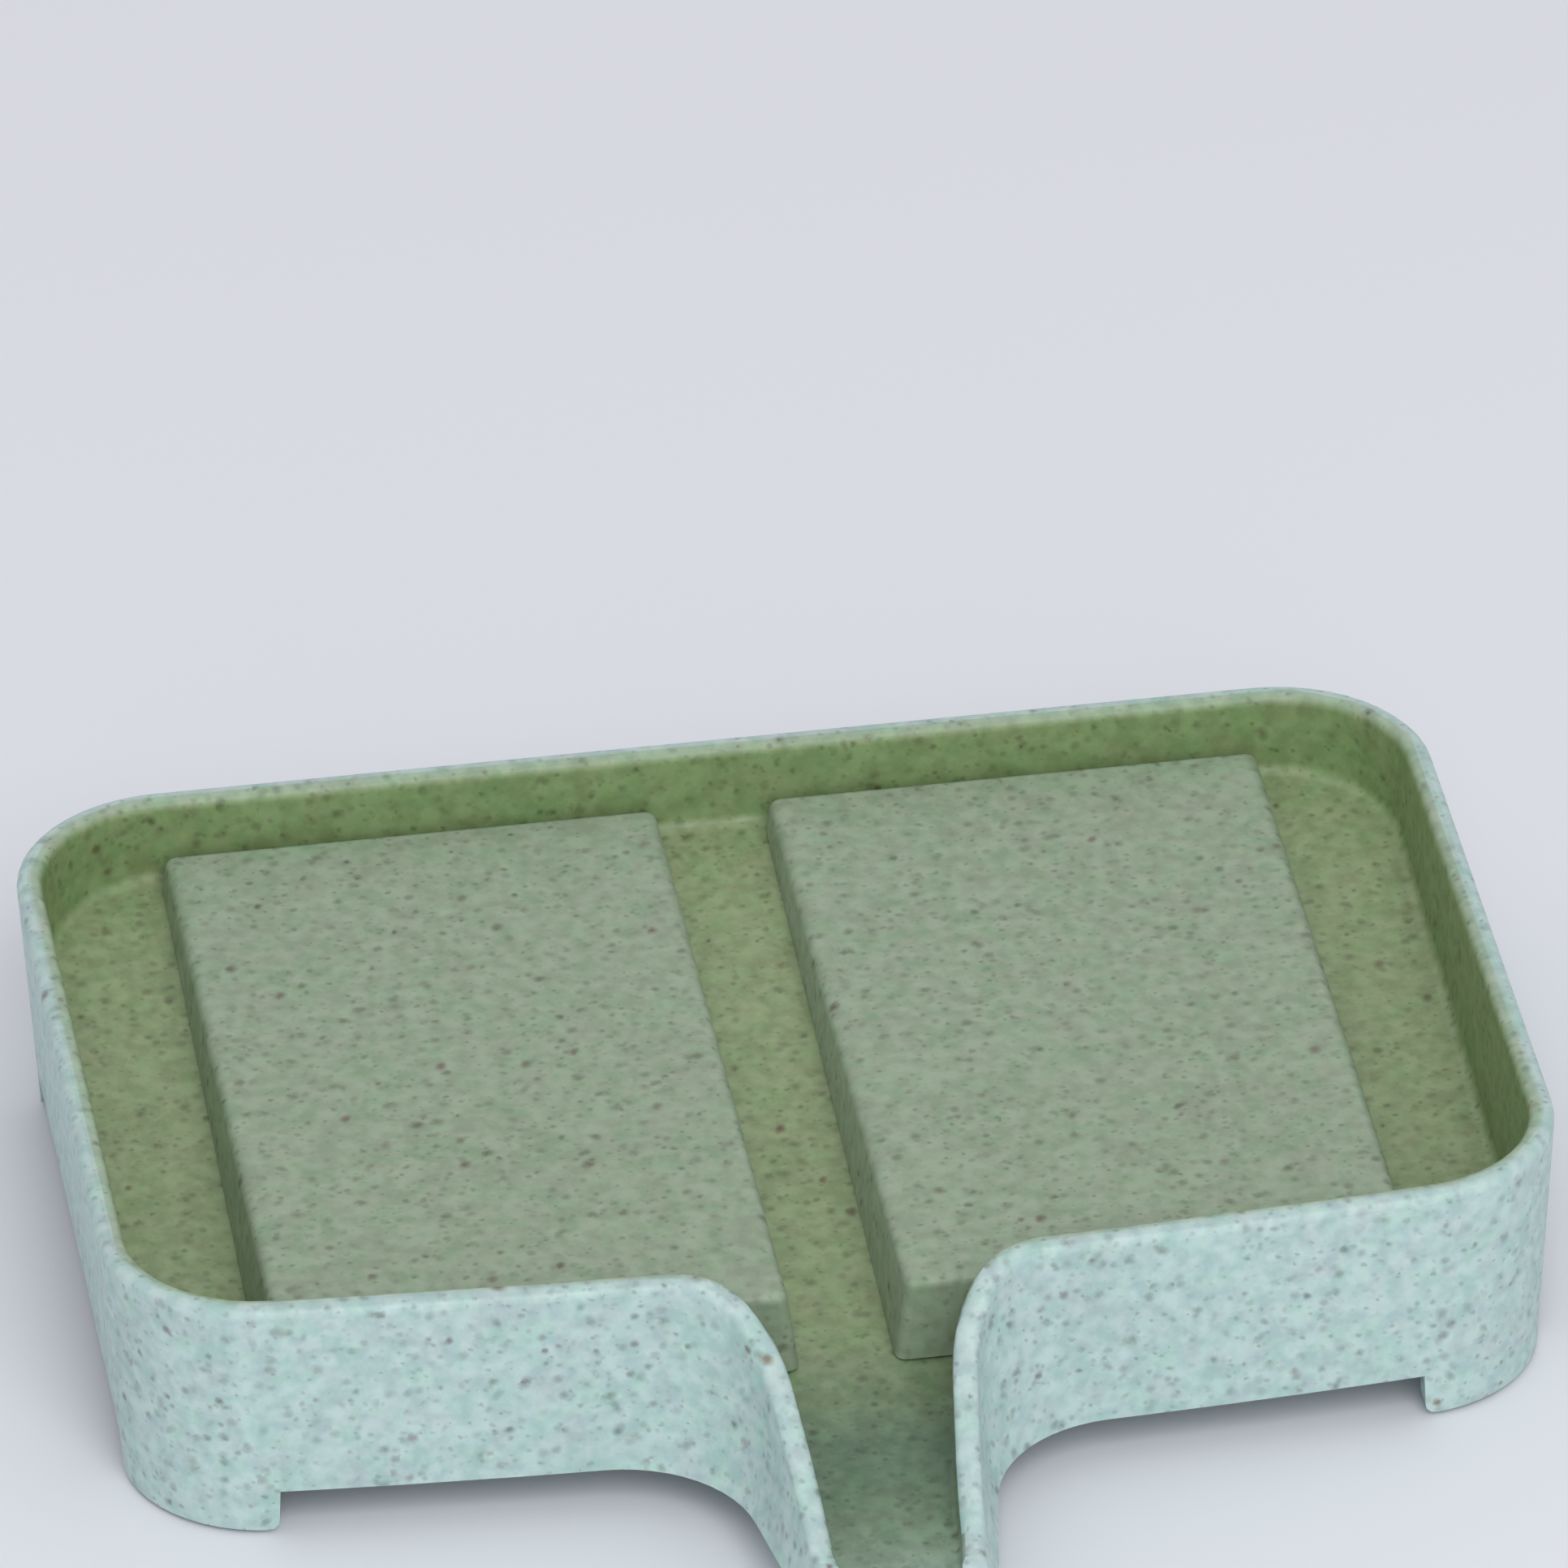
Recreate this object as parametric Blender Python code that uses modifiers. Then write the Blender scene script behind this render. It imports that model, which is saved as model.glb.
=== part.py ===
# Countertop soap dish: a tray that drains through a front spout, with two lift-out platforms.
# Metres, +Z up. The origin is the middle of the whole footprint, on the surface that it stands on.
# +X runs along the tray's length and the spout points along -Y.

from math import atan, cos, exp, hypot, pi, radians, sin, tan

import bmesh
import bpy
from mathutils import Matrix, Vector

# Tray
tray_length = 0.130
tray_depth = 0.0864
tray_height = 0.0246
wall = 0.0023
wall_draft = radians(3.4)
corner_radius = 0.0143
front_bow = 0.0022
rim_edge = 0.0009
floor_thickness = 0.0020
floor_back_height = 0.0170
floor_fillet = 0.0010

# Spout: it starts at the line of the front wall's ends
spout_reach = 0.0268
spout_width = 0.0166
spout_taper = radians(8.9)
spout_flare = 0.0017
spout_flare_height = 0.0040
spout_rim_height = 0.0090
mouth_radius = 0.0124
mouth_rim_radius = 0.0085

# The rim's fall into the spout, and the shares of it that ease in and out
rim_fall_start = 0.0020
rim_fall_length = 0.0265
rim_ease_shares = (0.25, 0.12)

# Feet, with the skirt's lower edge cut up between them
foot_height = 0.0047
foot_span = 0.01385
foot_draft = radians(2.3)
foot_edge = 0.0010

# Posts inside the skirt, and the grip pads under them
post_diameter = 0.0080
post_clearance = 0.0006
post_turn = radians(25)
pad_diameter = 0.0060
pad_thickness = 0.0012
pad_stand = 0.0005
pad_clearance = 0.0003

# Platforms, and the pegs on the tray's floor that keep them in place
side_channel = 0.0123
drain_channel = 0.0106
platform_wall_gap = 0.0012
platform_back_height = 0.0202
platform_fall = radians(1.5)
platform_draft = radians(7.0)
platform_shell = 0.0018
platform_edge = 0.0010
seat_gap = 0.0003
peg_diameter = 0.0050
peg_height = 0.0018
peg_clearance = 0.0004

# One overrun serves every cut
overrun = 0.0030

# Counts of facets
corner_steps = 12
bow_steps = 8
mouth_steps = 12
spout_steps = 12
edge_steps = 3
round_steps = 40

# Rounds of correction where a point depends on its own height, and the turn that stays a sharp edge
settle_rounds = 4
sharp_angle = radians(35)

# Levels of the outer wall, between the top of the feet and the rim's rounded edge
wall_level_shares = (0.0, 0.12, 0.28, 0.55, 1.0)

# Finishes: sRGB colour, 0 to 255, and roughness
tray_finish = (176, 205, 201, 0.42)
platform_finish = (168, 190, 172, 0.45)
pad_finish = (70, 78, 74, 0.7)

# Frame: the tray's middle sits behind the origin by half of the spout's reach
overall_depth = tray_depth + spout_reach
tray_middle_y = spout_reach / 2
back_y = overall_depth / 2
tip_y = -overall_depth / 2
skirt_bottom = pad_stand
floor_tip_height = foot_height + floor_thickness


def clear_scene():
    for item in list(bpy.data.objects):
        bpy.data.objects.remove(item, do_unlink=True)


def new_collection(name):
    group = bpy.data.collections.new(name)
    bpy.context.scene.collection.children.link(group)
    return group


def linear(value):
    """One sRGB channel, 0 to 255, as linear light."""
    share = value / 255
    if share <= 0.04045:
        return share / 12.92
    return ((share + 0.055) / 1.055) ** 2.4


def plain_material(name, red, green, blue, roughness):
    made = bpy.data.materials.new(name)
    made.use_nodes = True
    shader = made.node_tree.nodes["Principled BSDF"]
    shader.inputs["Base Color"].default_value = (linear(red), linear(green), linear(blue), 1.0)
    shader.inputs["Roughness"].default_value = roughness
    shader.inputs["Metallic"].default_value = 0.0
    return made


def object_from(name, mesh_builder, group):
    """An object whose mesh comes from a filled bmesh."""
    mesh = bpy.data.meshes.new(name)
    mesh_builder.normal_update()
    bmesh.ops.recalc_face_normals(mesh_builder, faces=mesh_builder.faces)
    mesh_builder.to_mesh(mesh)
    mesh_builder.free()
    made = bpy.data.objects.new(name, mesh)
    group.objects.link(made)
    return made


def loft(name, loops, group):
    """A closed solid through a stack of loops with equal counts, capped at both ends."""
    builder = bmesh.new()
    rings = [[builder.verts.new(point) for point in loop] for loop in loops]
    count = len(rings[0])
    for low, high in zip(rings, rings[1:]):
        for index in range(count):
            after = (index + 1) % count
            builder.faces.new((low[index], low[after], high[after], high[index]))
    builder.faces.new(rings[0])
    builder.faces.new(rings[-1])
    return object_from(name, builder, group)


def cylinder(name, radius, low, high, x, y, group):
    builder = bmesh.new()
    bmesh.ops.create_cone(builder, cap_ends=True, segments=round_steps, radius1=radius, radius2=radius,
                          depth=high - low)
    made = object_from(name, builder, group)
    made.location = (x, y, (low + high) / 2)
    return made


def add_boolean(target, tool, operation):
    change = target.modifiers.new(tool.name, "BOOLEAN")
    change.operation = operation
    change.solver = "EXACT"
    change.object = tool
    tool.hide_render = True
    tool.display_type = "WIRE"


def shade(item):
    item.data.shade_smooth()
    item.data.set_sharp_from_angle(angle=sharp_angle)


def floor_height(y):
    """The floor falls in one plane from the back wall to the spout's tip."""
    fall = (floor_back_height - floor_tip_height) / (back_y - tip_y)
    return floor_tip_height + fall * (y - tip_y)


def platform_top(y):
    return platform_back_height - tan(platform_fall) * (back_y - y)


def draft_inset(z):
    """How far the outer wall at height z lies inside its widest outline, just under the rounded rim."""
    return max(tray_height - rim_edge - z, 0) * tan(wall_draft)


def spout_half_width(y, z):
    """Outer half width of the spout, which flares toward the skirt's lower edge."""
    height = max(z - foot_height, 0)
    flare = spout_flare * (1 - exp(-height / spout_flare_height))
    return spout_width / 2 + tan(spout_taper) * (y - tip_y) - flare


def arc(x, y, radius, start, end, steps):
    """Points of an arc about (x, y), its first point left out."""
    turns = [start + (end - start) * step / steps for step in range(1, steps + 1)]
    return [(x + radius * cos(turn), y + radius * sin(turn)) for turn in turns]


def bowed(x, end_x, end_y):
    """y of the bowed front wall, whose ends lie at end_x and end_y."""
    return end_y - front_bow * (1 - (x / end_x) ** 2)


def half_outline(z, depth):
    """Right half of the wall's outline at height z, at a depth into the wall from its outer face."""
    inset = draft_inset(z) + depth
    side_x = tray_length / 2 - inset
    rear_y = back_y - inset
    front_y = back_y - tray_depth + inset
    radius = corner_radius - inset
    centre_x = side_x - radius
    slope = atan(2 * front_bow / centre_x)

    points = [(0, rear_y), (centre_x, rear_y)]
    points += arc(centre_x, rear_y - radius, radius, pi / 2, 0, corner_steps)
    points.append((side_x, front_y + radius))
    points += arc(centre_x, front_y + radius, radius, 0, slope - pi / 2, corner_steps)

    # The front wall bows out from the corners, and a fillet leads from it into the spout's side
    end_x, end_y = points[-1]
    rim_share = (z - foot_height) / (tray_height - foot_height)
    fillet = mouth_radius + (mouth_rim_radius - mouth_radius) * rim_share + depth
    meet_x = spout_half_width(end_y, z) - depth + fillet
    for _ in range(settle_rounds):
        lean = atan(2 * front_bow * meet_x / end_x ** 2)
        centre_y = bowed(meet_x, end_x, end_y) - fillet * cos(lean)
        centre_x = spout_half_width(centre_y + fillet * sin(spout_taper), z) - depth + fillet * cos(spout_taper)
        meet_x = centre_x - fillet * sin(lean)
    for step in range(1, bow_steps + 1):
        x = end_x + (meet_x - end_x) * step / bow_steps
        points.append((x, bowed(x, end_x, end_y)))
    points += arc(centre_x, centre_y, fillet, pi / 2 + lean, pi - spout_taper, mouth_steps)

    # The spout's side runs on past the tip to an end wall, which the tip's cut takes off
    start_y = points[-1][1]
    end_y = tip_y - 2 * overrun + depth
    for step in range(1, spout_steps + 1):
        y = start_y + (end_y - start_y) * step / spout_steps
        points.append((spout_half_width(y, z) - depth, y))
    points.append((0, end_y))
    return points


def whole_loop(heights, depth):
    """A closed loop round the tray, with a height for each point of the half outline."""
    right = [(*half_outline(z, depth)[index], z) for index, z in enumerate(heights)]
    left = [(-x, y, z) for x, y, z in reversed(right[1:-1])]
    return right + left


def on_slope(height_at, depth, first_height):
    """Heights of the half outline where it meets a slope given as a function of y."""
    count = len(half_outline(first_height, depth))
    heights = [first_height] * count
    for _ in range(settle_rounds):
        heights = [height_at(half_outline(z, depth)[index][1]) for index, z in enumerate(heights)]
    return heights


def eased(share):
    """How far the rim has fallen at a share of the fall's length: straight between two eased ends."""
    ease_in, ease_out = rim_ease_shares
    fallen = share * share / (2 * ease_in) if share < ease_in else share - ease_in / 2
    late = max(share - (1 - ease_out), 0)
    return (fallen - late * late / (2 * ease_out)) / (1 - (ease_in + ease_out) / 2)


def rim_heights():
    """Rim height at each point: full round the tray, then falling to the low spout walls."""
    points = half_outline(tray_height, wall)
    mouth = len(points) - 1 - spout_steps - mouth_steps
    heights = []
    travelled = -rim_fall_start
    for index, (x, y) in enumerate(points):
        if index >= mouth:
            before = points[index - 1]
            if index > mouth:
                travelled += hypot(x - before[0], y - before[1])
        share = min(max(travelled / rim_fall_length, 0), 1)
        heights.append(tray_height - (tray_height - spout_rim_height) * eased(share))
    return heights


def tray_loops():
    """Loops from the floor's underside, round the skirt, up the wall, over the rim and down to the floor."""
    rim = rim_heights()
    below = on_slope(lambda y: floor_height(y) - floor_thickness, wall, floor_back_height)
    loops = [whole_loop(below, wall)]
    loops.append(whole_loop([skirt_bottom] * len(rim), wall))
    loops.append(whole_loop([skirt_bottom] * len(rim), 0))
    for share in wall_level_shares:
        loops.append(whole_loop([foot_height + (z - rim_edge - foot_height) * share for z in rim], 0))
    for step in range(1, edge_steps + 1):
        turn = pi / 2 * step / edge_steps
        loops.append(whole_loop([z - rim_edge + rim_edge * sin(turn) for z in rim], rim_edge * (1 - cos(turn))))
    for step in range(edge_steps + 1):
        turn = pi / 2 * step / edge_steps
        depth = wall - rim_edge + rim_edge * sin(turn)
        loops.append(whole_loop([z - rim_edge + rim_edge * cos(turn) for z in rim], depth))
    for step in range(edge_steps + 1):
        turn = pi / 2 * step / edge_steps
        depth = wall + floor_fillet * (1 - cos(turn))
        rise = floor_fillet * (1 - sin(turn))
        loops.append(whole_loop(on_slope(lambda y: floor_height(y) + rise, depth, floor_back_height), depth))
    return loops


def notch_cutter(name, half_width, reach_from, reach_to, turn, group):
    """A prism that raises the skirt's lower edge between two feet, with each foot's lower edge rounded."""
    low = skirt_bottom - overrun
    base = skirt_bottom
    bend = base + foot_edge
    flare = half_width + tan(foot_draft) * (foot_height - bend)
    profile = [(half_width, foot_height), (flare, bend)]
    for step in range(1, edge_steps + 1):
        angle = pi / 2 * step / edge_steps
        profile.append((flare + foot_edge * (1 - cos(angle)), bend - foot_edge * sin(angle)))
    profile.append((flare + foot_edge, low))
    profile += [(-across, z) for across, z in reversed(profile)]
    loops = []
    for along in (reach_from, reach_to):
        loops.append([(across * cos(turn) - along * sin(turn), across * sin(turn) + along * cos(turn), z)
                      for across, z in profile])
    made = loft(name, loops, group)
    made.location = (0, tray_middle_y, 0)
    return made


def cut_notches(tray, cutters):
    """Four cuts through the skirt, one on each side of the tray."""
    inward = wall + draft_inset(foot_height) + post_clearance / 2
    half_x = tray_length / 2 - foot_span
    half_y = tray_depth / 2 - foot_span
    front = tray_depth / 2 + spout_reach + overrun
    rear = tray_depth / 2 + overrun
    end = tray_length / 2 + overrun
    cuts = (("front_notch", half_x, tray_depth / 2 - inward, front, pi),
            ("back_notch", half_x, tray_depth / 2 - inward, rear, 0),
            ("left_notch", half_y, tray_length / 2 - inward, end, pi / 2),
            ("right_notch", half_y, tray_length / 2 - inward, end, -pi / 2))
    for name, half_width, near, far, turn in cuts:
        add_boolean(tray, notch_cutter(name, half_width, near, far, turn, cutters), "DIFFERENCE")


def tip_cutter(group):
    """Everything in front of the spout's tip, whose side walls end in a quarter round."""
    edge = floor_tip_height
    round_off = spout_rim_height - edge
    low = -overrun
    high = tray_height
    front_y = tip_y - 3 * overrun
    profile = [(front_y, low), (tip_y, low)]
    for step in range(mouth_steps + 1):
        angle = pi / 2 * step / mouth_steps
        profile.append((tip_y + round_off * (1 - cos(angle)), edge + round_off * sin(angle)))
    profile += [(tip_y + round_off, high), (front_y, high)]
    half = spout_width
    loops = [[(x, y, z) for y, z in profile] for x in (-half, half)]
    return loft("tip_cut", loops, group)


def post_places():
    """Middles of the four posts, each within its corner's round and clear of the skirt's inner face."""
    inner_radius = corner_radius - wall - draft_inset(skirt_bottom)
    reach = inner_radius - post_clearance - post_diameter / 2
    x = tray_length / 2 - corner_radius + reach * cos(post_turn)
    y = tray_depth / 2 - corner_radius + reach * sin(post_turn)
    return (("front_left", -x, tray_middle_y - y), ("front_right", x, tray_middle_y - y),
            ("back_left", -x, tray_middle_y + y), ("back_right", x, tray_middle_y + y))


def add_posts(tray, cutters):
    """Posts under the floor, each with a shallow recess for its pad."""
    for place, x, y in post_places():
        top = floor_height(y) - floor_thickness / 2
        post = cylinder("post_" + place, post_diameter / 2, skirt_bottom, top, x, y, cutters)
        add_boolean(tray, post, "UNION")
        ceiling = pad_thickness + pad_clearance
        recess = cylinder("recess_" + place, pad_diameter / 2 + pad_clearance, skirt_bottom - overrun,
                          ceiling, x, y, cutters)
        add_boolean(tray, recess, "DIFFERENCE")


def platform_span():
    """Edges of the right platform's top: inner and outer x, front and back y."""
    outer_x = tray_length / 2 - wall - side_channel
    inner_x = drain_channel / 2
    rear_inset = wall + draft_inset(floor_height(back_y)) + platform_wall_gap
    rear_y = back_y - rear_inset
    front_wall_y = back_y - tray_depth
    front_inset = wall + draft_inset(floor_height(front_wall_y)) + platform_wall_gap
    front_y = front_wall_y + front_inset
    return inner_x, outer_x, front_y, rear_y


def drafted_block(name, span, side, top_at, bottom_at, group):
    """A block on the floor's slope, wider at its bottom by the draft; side is 1 for right, -1 for left."""
    inner_x, outer_x, front_y, rear_y = span
    builder = bmesh.new()
    bmesh.ops.create_cube(builder, size=1.0)
    run = tan(platform_draft)
    for corner in builder.verts:
        y = rear_y if corner.co.y > 0 else front_y
        spread = 0 if corner.co.z > 0 else run * (top_at(y) - bottom_at(y))
        x = outer_x + spread if corner.co.x > 0 else inner_x - spread
        z = top_at(y) if corner.co.z > 0 else bottom_at(y)
        corner.co = (side * x, y, z)
    return object_from(name, builder, group)


def round_top_edges(item):
    """A bevel on every edge but those of the open bottom."""
    mesh = item.data
    weights = mesh.attributes.new("bevel_weight_edge", "FLOAT", "EDGE")
    top = {point.index for point in mesh.vertices if point.co.z > platform_top(point.co.y) - platform_edge}
    for edge in mesh.edges:
        weights.data[edge.index].value = 1.0 if set(edge.vertices) & top else 0.0
    change = item.modifiers.new("rounded_edges", "BEVEL")
    change.limit_method = "WEIGHT"
    change.width = platform_edge
    change.segments = edge_steps


def seat_height(y):
    """Underside of a platform's walls."""
    return floor_height(y) + seat_gap


def make_platform(name, side, group, cutters, finish):
    """One hollow platform, with its origin on the line that it lifts out along."""
    inner_x, outer_x, front_y, rear_y = platform_span()
    platform = drafted_block(name, platform_span(), side, platform_top, seat_height, group)
    round_top_edges(platform)
    inside = (inner_x + platform_shell, outer_x - platform_shell,
              front_y + platform_shell, rear_y - platform_shell)
    hollow = drafted_block("hollow_" + name, inside, side, lambda y: platform_top(y) - platform_shell,
                           lambda y: seat_height(y) - overrun, cutters)
    add_boolean(platform, hollow, "DIFFERENCE")
    middle_y = (front_y + rear_y) / 2
    middle = Vector((side * (inner_x + outer_x) / 2, middle_y, seat_height(middle_y)))
    platform.data.transform(Matrix.Translation(-middle))
    platform.location = middle
    platform.data.materials.append(finish)
    return platform


def peg_places():
    """Pegs in the inner corners of each platform's hollow, on the right side of the tray."""
    inner_x, outer_x, front_y, rear_y = platform_span()
    inset = platform_shell + peg_clearance + peg_diameter / 2
    reach = peg_height + floor_thickness
    across = (inner_x + inset, outer_x - inset)
    return [(x, y) for x in across for y in (front_y + inset, rear_y - inset - reach)]


def add_pegs(tray, cutters):
    for index, (x, y) in enumerate(peg_places()):
        low = floor_height(y) - floor_thickness / 2
        high = floor_height(y) + peg_height
        for side, label in ((-1, "left"), (1, "right")):
            peg = cylinder(f"peg_{label}_{index + 1}", peg_diameter / 2, low, high, side * x, y, cutters)
            add_boolean(tray, peg, "UNION")


def make_tray(group, cutters, finish):
    tray = loft("tray", tray_loops(), group)
    add_posts(tray, cutters)
    add_pegs(tray, cutters)
    cut_notches(tray, cutters)
    add_boolean(tray, tip_cutter(cutters), "DIFFERENCE")
    tray.data.materials.append(finish)
    shade(tray)
    return tray


def make_pads(group):
    for place, x, y in post_places():
        name = "grip_pad_" + place
        pad = cylinder(name, pad_diameter / 2, 0, pad_thickness, x, y, group)
        pad.data.materials.append(plain_material(name + "_rubber", *pad_finish))
        shade(pad)


def main():
    clear_scene()
    group = new_collection("soap_dish")
    cutters = new_collection("cutters")
    make_tray(group, cutters, plain_material("tray_plastic", *tray_finish))
    for name, side in (("left_platform", -1), ("right_platform", 1)):
        make_platform(name, side, group, cutters, plain_material(name + "_plastic", *platform_finish))
    make_pads(group)


main()
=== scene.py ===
# %% [markdown]
# # A self-draining soap dish
# The dish is a shallow moulded tray on four feet. Its floor slopes to a spout at the front, and
# two loose platforms hold the soap above the wet floor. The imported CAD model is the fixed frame:
# every piece below is measured from it, so that nothing has to be fitted by eye.

from math import radians, tan

import bpy
from mathutils import Matrix, Vector


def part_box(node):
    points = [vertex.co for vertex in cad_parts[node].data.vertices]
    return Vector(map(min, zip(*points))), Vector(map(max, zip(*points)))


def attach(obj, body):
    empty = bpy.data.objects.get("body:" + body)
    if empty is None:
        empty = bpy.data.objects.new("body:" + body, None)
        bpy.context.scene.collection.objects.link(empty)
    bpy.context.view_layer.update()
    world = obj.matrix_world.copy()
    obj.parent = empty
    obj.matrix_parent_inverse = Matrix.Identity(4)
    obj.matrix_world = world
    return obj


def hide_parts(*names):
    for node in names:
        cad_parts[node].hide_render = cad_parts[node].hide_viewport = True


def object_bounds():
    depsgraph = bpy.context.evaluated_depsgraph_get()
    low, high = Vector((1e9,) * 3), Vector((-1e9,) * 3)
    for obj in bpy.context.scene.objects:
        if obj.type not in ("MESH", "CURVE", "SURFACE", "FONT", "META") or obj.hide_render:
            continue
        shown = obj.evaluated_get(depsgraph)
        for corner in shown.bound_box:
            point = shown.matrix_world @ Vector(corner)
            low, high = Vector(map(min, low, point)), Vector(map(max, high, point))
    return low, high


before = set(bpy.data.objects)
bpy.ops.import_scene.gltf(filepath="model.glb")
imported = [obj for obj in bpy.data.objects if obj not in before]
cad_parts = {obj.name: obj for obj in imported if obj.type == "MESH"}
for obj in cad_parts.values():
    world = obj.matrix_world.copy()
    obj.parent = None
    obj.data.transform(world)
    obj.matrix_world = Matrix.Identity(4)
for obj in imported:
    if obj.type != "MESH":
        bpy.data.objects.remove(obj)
cad_low, cad_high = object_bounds()
print("CAD box in mm:", [round(1000 * side, 2) for side in cad_high - cad_low])

# %% [markdown]
# ## The lines that every piece follows
# The floor is one plane that falls from the back wall to the spout's tip, and the platforms have
# nearly level tops. These few heights are repeated from the CAD model, in metres.

# %% Floor plane
BACK_Y = cad_high.y
TIP_Y = cad_low.y
TRAY_DEPTH = 0.0864
TRAY_MIDDLE = Vector((0, BACK_Y - TRAY_DEPTH / 2, 0))
FLOOR_BACK = 0.0170
FLOOR_TIP = 0.0067
FLOOR_SLOPE = (FLOOR_BACK - FLOOR_TIP) / (BACK_Y - TIP_Y)


def floor_height(y):
    return FLOOR_TIP + FLOOR_SLOPE * (y - TIP_Y)


print("Floor in mm: falls", round(1000 * (FLOOR_BACK - FLOOR_TIP), 1),
      "over", round(1000 * (BACK_Y - TIP_Y), 1))

# %% [markdown]
# ## The camera
# The photograph was taken from a little left of the front and about 32 degrees above the ground,
# from far away: the tray's sides hardly converge. A long lens from 1.7 m gives that flat look.
# The turn, tilt and roll come from matching the rim, the skirt and the feet to the photograph.

# %% Camera
CAMERA_PLACE = (-0.20832, -1.39853, 0.94792)
CAMERA_TURN = radians(-8.43)
CAMERA_TILT = radians(90 - 32.28)
CAMERA_ROLL = radians(-1.0)
SENSOR_WIDTH_MM = 36
LENS_MM = 435.74

camera_data = bpy.data.cameras.new("photo_camera")
camera_data.sensor_width = SENSOR_WIDTH_MM
camera_data.lens = LENS_MM
camera = bpy.data.objects.new("photo_camera", camera_data)
bpy.context.scene.collection.objects.link(camera)
camera.matrix_world = (
    Matrix.Translation(CAMERA_PLACE)
    @ Matrix.Rotation(CAMERA_TURN, 4, "Z")
    @ Matrix.Rotation(CAMERA_TILT, 4, "X")
    @ Matrix.Rotation(CAMERA_ROLL, 4, "Z")
)
bpy.context.scene.camera = camera
bpy.context.scene.view_settings.view_transform = "Standard"
print("Camera distance in m:", round((camera.location - TRAY_MIDDLE).length, 3))

# %% [markdown]
# ## Colours
# Colours are easiest to read as the 0 to 255 values of a picture, but materials work in linear
# light, so one small helper converts them.


# %% Colour helper
def linear_light(channel):
    share = channel / 255
    return share / 12.92 if share <= 0.04045 else ((share + 0.055) / 1.055) ** 2.4


def paint(red, shade_share, blue):
    """An sRGB colour, 0 to 255, as linear light."""
    return (linear_light(red), linear_light(shade_share), linear_light(blue), 1.0)


print("Mid mint in linear light:", [round(value, 3) for value in paint(176, 205, 201)])

# %% [markdown]
# ## Ground and light
# A plain pale ground keeps attention on the plastic. It is matt and hardly shines, so that the only
# thing to see on it is the soft shadow under the tray.

# %% Ground
GROUND_COLOUR = paint(230, 232, 239)
GROUND_SIDE = 8
GROUND_ROUGHNESS = 0.55
GROUND_SHINE = 0.2

bpy.ops.object.select_all(action="DESELECT")
bpy.ops.mesh.primitive_plane_add(size=GROUND_SIDE, location=(0, 0, 0))
ground = bpy.context.object
ground.name = "studio_ground"
ground_paint = bpy.data.materials.new("pale_ground")
ground_paint.use_nodes = True
ground_shader = ground_paint.node_tree.nodes["Principled BSDF"]
ground_shader.inputs["Base Color"].default_value = GROUND_COLOUR
ground_shader.inputs["Roughness"].default_value = GROUND_ROUGHNESS
ground_shader.inputs["Specular IOR Level"].default_value = GROUND_SHINE
ground.data.materials.append(ground_paint)
print("Ground laid at z = 0")

# %% [markdown]
# The world gives the even fill. Camera and glossy rays see it as a plain pale backdrop, which is
# why it is split with the Light Path node: the backdrop can be pale without lighting the object.

# %% World
WORLD_FILL = 0.64
BACKDROP_COLOUR = paint(228, 229, 234)

world = bpy.data.worlds.new("soft_studio")
bpy.context.scene.world = world
world.use_nodes = True
world_nodes = world.node_tree.nodes
world_links = world.node_tree.links
world_nodes.clear()
world_out = world_nodes.new("ShaderNodeOutputWorld")
fill = world_nodes.new("ShaderNodeBackground")
fill.inputs["Color"].default_value = (1.0, 1.0, 1.0, 1.0)
fill.inputs["Strength"].default_value = WORLD_FILL
backdrop = world_nodes.new("ShaderNodeBackground")
backdrop.inputs["Color"].default_value = BACKDROP_COLOUR
backdrop.inputs["Strength"].default_value = 1.0
light_path = world_nodes.new("ShaderNodeLightPath")
seen = world_nodes.new("ShaderNodeMath")
seen.operation = "MAXIMUM"
world_mix = world_nodes.new("ShaderNodeMixShader")
world_links.new(light_path.outputs["Is Camera Ray"], seen.inputs[0])
world_links.new(light_path.outputs["Is Glossy Ray"], seen.inputs[1])
world_links.new(seen.outputs[0], world_mix.inputs[0])
world_links.new(fill.outputs[0], world_mix.inputs[1])
world_links.new(backdrop.outputs[0], world_mix.inputs[2])
world_links.new(world_mix.outputs[0], world_out.inputs["Surface"])
print("World fill strength:", WORLD_FILL)

# %% [markdown]
# A studio lights plastic with large soft boxes, because small lamps leave hard spots on it. Here a
# large square lamp, above and in front of the tray, lights the faces that the camera sees, and a
# weaker one near the ground opens the shadow under the skirt.


# %% Lamps
def soft_lamp(name, place, side, watts):
    """A square area lamp that faces the tray."""
    data = bpy.data.lights.new(name, "AREA")
    data.size = side
    data.energy = watts
    lamp = bpy.data.objects.new(name, data)
    bpy.context.scene.collection.objects.link(lamp)
    lamp.location = place
    lamp.rotation_euler = (TRAY_MIDDLE - lamp.location).to_track_quat("-Z", "Y").to_euler()
    print(name, "gives", watts, "W")


soft_lamp("overhead_key", place=(0.06, -1.12, 1.08), side=0.8, watts=10.0)
soft_lamp("low_front_fill", place=(-0.10, -1.50, 0.42), side=0.9, watts=2.2)

# %% [markdown]
# ## The plastic
# The tray and the platforms are moulded from plastic mixed with ground straw. Up close it has small
# soft grey-green flecks, a few dark, rose, brown and pale ones, and a faint cloudiness. It could be
# a picture wrapped round each piece, but that would stretch and show seams. Flecks are solid bits
# all through the material, so a 3D pattern on Object coordinates is right: a wall cuts through each
# fleck where it happens to lie, and no seam shows at a corner.
#
# Node materials repeat a few steps many times. Each of these helpers adds one node, plugs in what
# it is given and hands back the result.


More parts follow.
